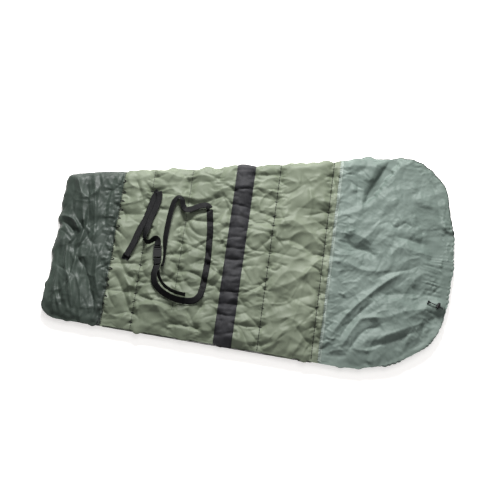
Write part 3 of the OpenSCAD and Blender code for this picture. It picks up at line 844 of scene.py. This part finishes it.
def webbing(name, dark, light, gloss):
    """Black webbing: fine ribs across and a slightly raised herringbone along it."""
    material, tree, shader = nodes_of(name)
    place = add(tree, "ShaderNodeUVMap", uv_map="cloth").outputs["UV"]
    ribs = texture(tree, place, "ShaderNodeTexWave", Scale=110.0, bands_direction="X", Distortion=0.0)
    rows = texture(tree, place, "ShaderNodeTexWave", Scale=75.0, bands_direction="Y", Distortion=0.0)
    worn = texture(tree, place, "ShaderNodeTexNoise", Scale=45.0, Detail=4.0)
    tree.links.new(mixed_colour(tree, worn, dark, light), shader.inputs["Base Color"])
    normal = bump(tree, rows, 0.35, 0.0006, bump(tree, ribs, 0.5, 0.0006))
    tree.links.new(normal, shader.inputs["Normal"])
    shader.inputs["Roughness"].default_value = 0.62
    shader.inputs["Sheen Weight"].default_value = 0.0
    shader.inputs["Specular IOR Level"].default_value = gloss
    return material


def hard(name, dark, light, roughness, metallic=0.0):
    """Moulded plastic, metal or thread, with a fine grain."""
    material, tree, shader = nodes_of(name)
    place = add(tree, "ShaderNodeTexCoord").outputs["Object"]
    speck = texture(tree, place, "ShaderNodeTexNoise", Scale=400.0, Detail=3.0)
    tree.links.new(mixed_colour(tree, speck, dark, light), shader.inputs["Base Color"])
    tree.links.new(bump(tree, speck, 0.08, 0.0004), shader.inputs["Normal"])
    shader.inputs["Roughness"].default_value = roughness
    shader.inputs["Metallic"].default_value = metallic
    shader.inputs["Specular IOR Level"].default_value = 0.25
    return material


OLIVE = cloth("olive_nylon", (0.350, 0.379, 0.317), (0.415, 0.444, 0.379), 0.52, 0.0, 0.12, gloss=0.17)
DARK = cloth("dark_nylon", (0.150, 0.178, 0.160), (0.235, 0.270, 0.245), 0.48, 0.0, 0.14, gloss=0.19)
SPRUCE = cloth("spruce_nylon", (0.345, 0.390, 0.365), (0.420, 0.465, 0.440), 0.52, 0.0, 0.16, gloss=0.15)
BASE = cloth("base_nylon", (0.25, 0.28, 0.24), (0.31, 0.34, 0.30), 0.6, 0.0, 0.10)
LINING = cloth("lining_nylon", (0.48, 0.50, 0.48), (0.56, 0.58, 0.56), 0.6, 0.1, 0.10)
WEB = webbing("black_webbing", (0.044, 0.044, 0.048), (0.070, 0.070, 0.076), 0.12)
BAND_WEB = webbing("band_webbing", (0.105, 0.105, 0.113), (0.150, 0.150, 0.162), 0.20)
TAPE = webbing("zip_tape", (0.08, 0.08, 0.085), (0.12, 0.12, 0.13), 0.2)
PLASTIC = hard("black_plastic", (0.035, 0.035, 0.038), (0.055, 0.055, 0.060), 0.50)
PIPING = cloth("hood_piping", (0.190, 0.220, 0.200), (0.250, 0.285, 0.262), 0.55, 0.0, 0.10)
SELVEDGE = cloth("selvedge", (0.425, 0.464, 0.438), (0.475, 0.515, 0.484), 0.55, 0.0, 0.10)
METAL = hard("black_metal", (0.12, 0.12, 0.13), (0.18, 0.18, 0.19), 0.35, 0.7)
CORD = webbing("elastic_cord", (0.06, 0.06, 0.065), (0.11, 0.11, 0.12), 0.3)
THREAD = hard("black_thread", (0.045, 0.045, 0.05), (0.08, 0.08, 0.085), 0.75)
STEEL = hard("spring_steel", (0.55, 0.55, 0.57), (0.65, 0.65, 0.67), 0.3, 1.0)


# ---------------------------------------------------------------- camera, floor and light
def set_stage():
    scene = bpy.context.scene
    aim = Vector((-0.011, -0.070, 0.04))
    tilt, turn, distance = math.radians(72), math.radians(5.7), 6.25
    back = Vector((math.cos(tilt) * math.sin(turn), -math.cos(tilt) * math.cos(turn), math.sin(tilt)))
    camera = bpy.data.objects.new("camera", bpy.data.cameras.new("camera"))
    scene.collection.objects.link(camera)
    camera.location = aim + back * distance
    camera.rotation_euler = (-back).to_track_quat("-Z", "Y").to_euler()
    camera.data.lens = 95
    camera.data.shift_x = 0.002
    camera.data.shift_y = 0.024
    scene.camera = camera

    material, _, shader = nodes_of("floor")
    shader.inputs["Base Color"].default_value = (0.96, 0.94, 0.925, 1)
    shader.inputs["Roughness"].default_value = 0.95
    shader.inputs["Specular IOR Level"].default_value = 0.0
    shader.inputs["Emission Color"].default_value = (1, 0.98, 0.965, 1)
    shader.inputs["Emission Strength"].default_value = 0.58
    corners = [(-FLOOR, -FLOOR, 0), (FLOOR, -FLOOR, 0), (FLOOR, FLOOR, 0), (-FLOOR, FLOOR, 0)]
    make("floor", corners, [(0, 1, 2, 3)], material)

    scene.world = bpy.data.worlds.new("sky")
    scene.world.use_nodes = True
    sky = scene.world.node_tree.nodes["Background"]
    sky.inputs["Color"].default_value = (0.97, 0.985, 1.0, 1)
    sky.inputs["Strength"].default_value = 0.21
    for name, place, size, power, tone in (("back", (-0.3, 3.4, 2.45), 1.3, 425, (1, 1, 1)),
                                           ("top", (0.8, 0.8, 4.6), 2.6, 45, (1, 1, 1)),
                                           ("front", (-1.0, -4.2, 1.8), 2.4, 16, (1, 0.98, 0.96))):
        light = bpy.data.lights.new(name, "AREA")
        light.size = size
        light.energy = power
        light.color = tone
        lamp = bpy.data.objects.new(name, light)
        lamp.location = place
        lamp.rotation_euler = (-Vector(place)).to_track_quat("-Z", "Y").to_euler()
        scene.collection.objects.link(lamp)
    scene.view_settings.view_transform = "Standard"


# ---------------------------------------------------------------- the shells
def add_shells():
    lines = [FOOT_SEAM] + QUILT_LINES + [STRAP_LINE, BAND[0], BAND[1], HOOD_SEAM]
    uv, faces = triangulate(RIM, STEP, lines)
    verts = press_under_straps(settled(uv))
    SHELL.update(uv=uv, faces=faces, verts=verts)
    corners = [tuple(int(i) for i in f) for f in faces]
    SHELL["tree"] = BVHTree.FromPolygons([(x, y, 0) for x, y in uv], corners)
    seam_x = (uv[:, 0] - SKEW * uv[:, 1])[faces].mean(1)
    for name, keep, material, slot, nodes, fill in (
            ("body_shell", (seam_x > FOOT_SEAM) & (seam_x < HOOD_SEAM), OLIVE, "olive_nylon",
             ("quilted_shell", "topside_filling", "far_side_wall", "near_wall_upper"), 0.55),
            ("foot_shell", seam_x < FOOT_SEAM, DARK, "dark_nylon",
             ("foot_cover", "foot_filling", "foot_end_wall"), 0.4),
            ("hood_shell", seam_x > HOOD_SEAM, SPRUCE, "spruce_nylon",
             ("hood_cover", "hood_filling", "hood_rim_upper"), 0.35)):
        v, u, f = part_of(verts, uv, faces, keep)
        obj = make(name, v, f, material)
        set_uv(obj, u)
        finish_piece(obj, "bag", slot, *nodes)


def slab(name, inset, low, high, material, slot, nodes, bulge=0.004, rough=0.001):
    """A soft layer with rounded sides, closed above and below."""
    rim = grown(OUTLINE, -inset)
    uv, faces = triangulate(rim, 0.016, [])
    a, near, around = nearest_edge(uv, rim)
    wave = rough * noise(uv[:, 0] * 14, uv[:, 1] * 14, 33)
    fall = (1 - smooth(a / 0.02)) * (high - low) * 0.35
    top = np.column_stack([uv, high - fall + wave])
    bottom = np.column_stack([uv, low + fall * 0.5])
    count = len(uv)
    edge = sorted(np.where(a < 1e-6)[0], key=lambda i: around[i])
    middle = [(*(uv[i] + near[i] / np.hypot(*near[i]) * bulge * 0.5), (low + high) / 2) for i in edge]
    sides = []
    for k, i in enumerate(edge):
        after = (k + 1) % len(edge)
        j = edge[after]
        sides.append((2 * count + k, 2 * count + after, j, i))
        sides.append((i + count, j + count, 2 * count + after, 2 * count + k))
    obj = make(name, np.vstack([top, bottom, middle]), both_sides(faces, count) + sides, material)
    finish_piece(obj, "bag", slot, *nodes)
    return obj


def add_layers():
    base = slab("base_shell", 0.014, 0.0, 0.021, BASE, "base_nylon",
                ("underside_shell", "underside_filling", "near_wall_lower", "hood_rim_lower"))
    for name, node, low in (("lining_low", "underside_lining", 0.0215),
                            ("lining_top", "topside_lining", 0.0240)):
        obj = slab(name, 0.024, low, low + 0.0015, LINING, "lining_nylon", (node,), bulge=0.0, rough=0.0005)


# ---------------------------------------------------------------- trim on the shells
def strands(name, points, lift, radius):
    """Short threads of three pattern points each, raised in their middle."""
    rows = drape(points.reshape(-1, 2)).reshape(-1, 3, 3)
    rows[:, :, 2] += lift * np.array([0.35, 1.2, 0.35])
    return tubes(name, rows, radius, THREAD)


def dashes(lines, every, length):
    """Stitches along lines of the pattern."""
    points = []
    for line in lines:
        line = spaced(line, every)
        step = np.diff(line, axis=0)[:, None, :] * np.array([0, 0.5, 1])[None, :, None] * length
        points.append(line[:-1, None, :] + step)
    return np.concatenate(points)


def ties_of(line_x, size):
    """The thread that draws the layers together: one short bar across the line at each tie."""
    number = [x for x, _, _ in SEAMS].index(line_x)
    ys = np.array([y for y in tie_points(20 + number, SEAMS[number][1]) if -0.44 < y < 0.30])
    r = np.random.RandomState(80 + number)
    rows = []
    for y in ys:
        x, turn = line_x + SKEW * y, r.uniform(-0.5, 0.5)
        rows.append([(x - size, y - size * turn), (x, y), (x + size, y + size * turn)])
    return np.array(rows)


def foot_loops():
    """Loose loops of thread along the foot's seam."""
    r = np.random.RandomState(90)
    rows, y = [], -0.43
    while y < 0.26:
        y += r.uniform(0.024, 0.062)
        x = FOOT_SEAM + SKEW * y + 0.004
        out, up = r.uniform(0.006, 0.022), r.uniform(-0.012, 0.014)
        rows += [[(x - 0.004, y), (x + out * 0.5, y + up * 0.6), (x + out, y + up)],
                 [(x + out, y + up), (x + out * 0.6, y + up + 0.006), (x, y + up + 0.010)]]
    return np.array(rows)


def add_trim():
    for name, node, x, width, lift, thickness, material, slot, columns, wave in (
            ("cross_band_web", "cross_band", sum(BAND) / 2, BAND[1] - BAND[0], 0.0008, 0.0016, BAND_WEB,
             "black_webbing", 19, 0.0006),
            ("foot_seam_binding_cloth", "foot_seam_binding", FOOT_SEAM, 0.010, 0.0004, 0.0012, DARK,
             "dark_nylon", 7, 0.0),
            ("hood_seam_strip_cloth", "hood_seam_strip", HOOD_SEAM + 0.002, 0.015, 0.0010, 0.0012, SELVEDGE,
             "olive_nylon", 7, 0.0)):
        line = seam_line(x)
        obj = draped_strip(name, line, width, lift, thickness, material, columns, wave)
        finish_piece(obj, "bag", slot, node)
        laid_length(line)
    heavy = [seam_line(x, inset=0.012) for x in (0.083, 0.337)]
    light = [seam_line(-0.517, inset=0.012), seam_line(-0.336, -0.34, 0.56), seam_line(FOOT_SEAM + 0.008)]
    edges = [seam_line(BAND[0] + 0.004), seam_line(BAND[1] - 0.004)]
    bars = np.concatenate([ties_of(x, 0.009) for x in (-0.517, 0.083, 0.337)] + [foot_loops()])
    whip = [[(x - 0.009, y), (x, y + 0.001), (x + 0.006, y + 0.002)]
            for x, y in spaced(seam_line(HOOD_SEAM), 0.012)]
    for obj in (strands("quilting_thread", dashes(heavy, 0.014, 0.80), 0.0016, 0.0019),
                strands("fine_thread", dashes(light, 0.010, 0.75), 0.0012, 0.0013),
                strands("thread_ties", bars, 0.0016, 0.0017),
                strands("band_thread", dashes(edges, 0.005, 0.7), 0.0028, 0.0005),
                strands("hood_seam_thread", np.array(whip), 0.0022, 0.0006)):
        finish_piece(obj, "bag", "black_webbing")


def add_piping():
    """Dark cord sewn into the hood's far edge."""
    rim = RIM[(RIM[:, 0] > 0.48) & (RIM[:, 1] > 0.15)]
    centre = np.array([0.5, 0.1])
    rim = rim[np.argsort(np.arctan2(rim[:, 1] - centre[1], rim[:, 0] - centre[0]))]
    rim = spaced(rim, 0.008) * 0.999
    path = drape(rim + (centre - rim) * 0.030)
    path[:, 2] += 0.001
    obj = tubes("hood_piping_cord", [path], 0.0022, PIPING, sides=8)
    finish_piece(obj, "bag", "dark_nylon", "hood_piping")


# ---------------------------------------------------------------- webbing
REST_Z = 0.0590                          # middle of a strap that lies flat on the shell


def route(rows):
    """Rows are x, y in millimetres, how far the lower edge is lifted, and lean in degrees."""
    return [(x / 1000, y / 1000, REST_Z + lift / 1000 + 0.5 * WEBBING_W * math.sin(math.radians(lean)), lean)
            for x, y, lift, lean in rows]


UPPER = route([(-222, 172, 0, 0), (-240, 186, 3, 8), (-275, 178, 2, 10), (-311, 160, 1, 8),
               (-338, 156, 1, 14), (-352, 176, 1, 34), (-358, 202, 2, 46), (-376, 214, 2, 42),
               (-394, 196, 1, 36), (-402, 165, 0, 32), (-408, 124, 0, 30), (-413, 72, 0, 28),
               (-416, 21, 0, 32), (-415, -19, 1, 40), (-411, -60, 3, 58), (-410, -110, 3, 62),
               (-416, -142, 2, 56)])
LOWER = route([(-439, -134, 9, 0), (-445, -160, 8, 10), (-449, -190, 4, 20), (-436, -230, 1, 30),
               (-398, -266, 0, 34), (-345, -290, 0, 34), (-292, -298, 0, 26), (-248, -290, 1, 14),
               (-224, -264, 1, 6), (-217, -236, 1, 0)])
SPARE = route([(-430, -168, 6, 60), (-420, -200, 6, 66), (-398, -232, 8, 70), (-362, -256, 9, 72),
               (-322, -268, 9, 72), (-290, -272, 8, 70)])
LEFT = route([(-592, -104, 0, 0), (-566, -40, 1, 0), (-545, 30, 1, 0), (-522, 88, 1, 0), (-506, 150, 2, 0),
              (-492, 206, 4, 0), (-484, 226, 7, 0), (-478, 232, 12, 0)])
TAIL = route([(-475, 231, 13, 0), (-470, 202, 9, 0), (-480, 150, 6, 4), (-497, 96, 6, 0),
              (-508, 44, 6, 12), (-514, 8, 3, 40), (-512, -16, 2, 62), (-499, -30, 2, 68),
              (-483, -24, 3, 66), (-469, -11, 5, 52),
              (-456, -9, 8, 34), (-449, -22, 12, 16), (-448, -42, 14.5, 0)])


SEWN = [(-0.216, -0.231), (-0.208, -0.142), (-0.206, -0.060), (-0.210, 0.064), (-0.224, 0.170)]
PATCH = [(-0.598, -0.118), (-0.588, -0.092)]


def add_webbing():
    for name, path in (("strap_upper", UPPER), ("strap_lower", LOWER), ("strap_spare", SPARE),
                       ("strap_left", LEFT), ("strap_left_tail", TAIL)):
        obj = ribbon(name + "_web", path, WEB)
        if name == "strap_left_tail":
            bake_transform(obj)
        else:
            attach(obj, "bag")
        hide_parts(name)
    for name, node, line, width, lift, thickness in (
            ("strap_sewn_web", "strap_sewn", SEWN, WEBBING_W, 0.0006, WEBBING_T),
            ("strap_anchor_patch_web", "strap_anchor_patch", PATCH, 0.036, 0.0004, 0.0012)):
        obj = draped_strip(name, line, width, lift, thickness, WEB, 9)
        finish_piece(obj, "bag", "black_webbing", node)
        laid_length(line)


def box_loop(node, body):
    """A webbing loop of the buckle, in the CAD node's own shape."""
    obj = bpy.data.objects.new(node + "_web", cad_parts[node].data.copy())
    bpy.context.scene.collection.objects.link(obj)
    obj.data.materials.clear()
    obj.data.materials.append(WEB)
    if obj.data.uv_layers:
        obj.data.uv_layers.remove(obj.data.uv_layers[0])
    set_uv(obj, [(v.co.x, v.co.y) for v in obj.data.vertices])
    finish_piece(obj, body, "black_webbing", node)


# ---------------------------------------------------------------- zip, cords and fittings
def add_fittings():
    box_loop("socket_loop", "bag")
    box_loop("plug_loop", "buckle_plug")
    for node in ("buckle_socket", "buckle_plug", "buckle_prong_left", "buckle_prong_right", "cord_lock_body",
                 "cord_lock_button", "zip_top_stop", "zip_bottom_stop"):
        paint(node, PLASTIC)
    for node in ("zip_slider", "zip_pull"):
        paint(node, METAL)


def along_zip(distance, out, z):
    """A point by the near edge: distance from the foot's corner, out from the edge, and height."""
    start, turn = ZIP_LINE
    return (start[0] + distance * math.cos(turn) + out * math.sin(turn),
            start[1] + distance * math.sin(turn) - out * math.cos(turn), z)


def add_tape(name, low, high):
    """One tape: a thin strip on edge, waved a little along the bag."""
    steps = np.linspace(ZIP_FROM, ZIP_TO, 240)
    middle = (low + high) / 2
    section = ((0, low), (0.0003, middle), (0, high), (-0.0006, high), (-0.0003, middle), (-0.0006, low))
    rows = [along_zip(t, 0.0004 * math.sin(t * 90) - 0.0009 + out, z) for t in steps for out, z in section]
    obj = make(name + "_cloth", rows, swept_faces(len(steps), len(section)), TAPE)
    set_uv(obj, [(math.hypot(x, y), z) for x, y, z in rows])
    finish_piece(obj, "bag", "zip_tape", name)


def add_coil(name, z):
    """One side of the teeth: a coil of thin nylon along its tape."""
    count = int((ZIP_TO - ZIP_FROM) / COIL_PITCH) * 6
    coil = []
    for k in range(count):
        angle = k * math.pi / 3
        coil.append(along_zip(ZIP_FROM + k * (ZIP_TO - ZIP_FROM) / count, 0.0008 + 0.0009 * math.cos(angle),
                              z + 0.0013 * math.sin(angle)))
    finish_piece(tubes(name + "_coil", [coil], 0.0004, PLASTIC, sides=4), "bag", "black_plastic", name)


def add_draft_tube():
    """The soft roll of lining behind the zip."""
    turns = np.linspace(0, 2 * math.pi, 15)[:-1]
    steps = np.linspace(ZIP_FROM, ZIP_TO, 120)
    verts = []
    for t in steps:
        radius = 0.0065 * (1 + 0.10 * float(noise(np.array([t * 22]), np.array([0.5]), 51)[0]))
        verts += [along_zip(t, -0.0135 + radius * math.cos(a), ZIP_Z - 0.001 + radius * math.sin(a))
                  for a in turns]
    draft = make("draft_tube_soft", verts, swept_faces(len(steps), len(turns)), LINING)
    finish_piece(draft, "bag", "lining_nylon", "draft_tube")


def add_zip():
    for name, side in (("zip_tape_lower", -1), ("zip_tape_upper", 1)):
        low, high = sorted((ZIP_Z + side * 0.0028, ZIP_Z + side * 0.0135))
        add_tape(name, low, high)
    for name, side in (("zip_teeth_lower", -1), ("zip_teeth_upper", 1)):
        add_coil(name, ZIP_Z + side * 0.0017)
    add_draft_tube()


def by_lock(x, y, z):
    """A point given in the lock's own directions: x to its button, y into the bag, z above the floor."""
    c, s = math.cos(LOCK_TURN), math.sin(LOCK_TURN)
    return (LOCK_AT[0] + x * c - y * s, LOCK_AT[1] + x * s + y * c, z)


def cord_piece(name, line, sides):
    """Round cord along a line, with its braid."""
    obj = tubes(name, [line], CORD_D / 2, CORD, sides=sides)
    set_uv(obj, [(v.co.x + v.co.y, v.co.z) for v in obj.data.vertices])
    return obj


def overhand(x, y, z):
    """A small knot, as a closed line."""
    size = 0.0013
    return [(x + size * (math.sin(t) + 2 * math.sin(2 * t)), y + size * (math.cos(t) - 2 * math.cos(2 * t)),
             z + 0.0008 - size * math.sin(3 * t)) for t in np.linspace(0, 2 * math.pi, 40)]


def hem_line():
    """The drawcord's way round the hood's mouth, inside the hem."""
    centre = np.array([0.5, 0.0])
    rim = round_trip(RIM, 0.01)
    rim = rim[rim[:, 0] > 0.60]
    rim = rim[np.argsort(np.arctan2(rim[:, 1], rim[:, 0] - 0.5))]
    return rim + (centre - rim) / np.hypot(*(centre - rim).T)[:, None] * 0.024


def add_cords():
    inboard = hem_line()
    leave = by_lock(0, -0.020, 0)[1]
    exit_z = drape([by_lock(0, -CORD_EXIT, 0)[:2]])[0][2]
    ring = [by_lock(0.0065 * math.cos(t), -CORD_EXIT + 0.0040 * math.sin(t), exit_z + 0.0006)
            for t in np.linspace(0, 2 * math.pi, 30)]
    eyelet = tubes("cord_eyelet", [ring], 0.0013, THREAD, sides=8)
    finish_piece(eyelet, "bag", "black_webbing")
    for name, side, keep in (("drawcord_far", 1, inboard[:, 1] > leave + 0.012),
                             ("drawcord_near", -1, inboard[:, 1] < leave - 0.012)):
        run = [(x, y, HEM_Z) for x, y in inboard[keep]][::-side]
        end = by_lock(side * 0.003, -CORD_EXIT, exit_z - 0.001)
        run += [by_lock(side * 0.010, -0.028, 0.030), by_lock(side * 0.005, -0.028, 0.038), end]
        lift = side * (CORD_D / 2 + 0.0001)
        level = LOCK_MIDDLE + lift
        stop_x, stop_y, _ = by_lock(side * 0.006, CORD_END, 0)
        rest = drape([(stop_x, stop_y)])[0][2] + CORD_D / 2 + 0.001
        free = [end, by_lock(side * 0.002, -0.022, 0.0580)]
        free += [by_lock(0, y, level) for y in (-0.016, -0.010, 0.018, 0.032, 0.0365)]
        free += [by_lock(side * 0.003, 0.043, (LOCK_MIDDLE + rest) / 2 + lift * 0.5), (stop_x, stop_y, rest)]
        path = spaced(catmull(free, 8), 0.002)
        finish_piece(cord_piece(name + "_run", catmull(run, 3), 8), "bag", "elastic_cord", name)
        tail = cord_piece(name + "_tail", path, 10)
        knot = cord_piece(name + "_knot", overhand(stop_x, stop_y, rest), 8)
        for obj in (tail, knot):
            finish_piece(obj, "bag", "elastic_cord")


def add_spring():
    """The lock's spring, which shortens as the button goes in."""
    turns = np.linspace(0, 6 * math.pi, 60)
    line = []
    for t in turns:
        share = t / turns[-1]
        radius = 0.0040 - 0.0014 * share
        along = SPRING[0] + (SPRING[1] - SPRING[0]) * share
        line.append(by_lock(along, radius * math.cos(t), LOCK_MIDDLE + radius * math.sin(t)))
    spring = tubes("cord_lock_spring_wire", [line], 0.00025, STEEL, sides=8)
    finish_piece(spring, "cord_lock", "spring_steel", "cord_lock_spring")
    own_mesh(spring)


def add_foot_loop():
    """The small loop of cord that comes out of the near end of the foot's seam and goes back in."""
    turns = np.linspace(0.4, 2 * math.pi - 0.4, 36)
    path = drape([(-0.681 + 0.0065 * math.sin(t), -0.4333 + 0.020 * math.cos(t)) for t in turns])
    from_end = np.minimum(np.arange(len(turns)), np.arange(len(turns))[::-1])
    path[:, 2] += 0.0026 * np.minimum(1, from_end / 3)
    loop = tubes("foot_loop_cord", [path], FOOT_LOOP_D / 2, CORD, sides=10)
    finish_piece(loop, "bag", "black_webbing", "foot_loop")


def finish_piece(obj, body, slot, *nodes):
    """The body a piece moves with and the CAD nodes that it stands for; the slot is not used."""
    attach(obj, body)
    if nodes:
        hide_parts(*nodes)


def paint(node, material):
    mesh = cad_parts[node].data
    mesh.materials.clear()
    mesh.materials.append(material)


set_stage()
add_shells()
add_layers()
add_trim()
add_piping()
add_webbing()
add_fittings()
add_zip()
add_cords()
add_foot_loop()
add_spring()
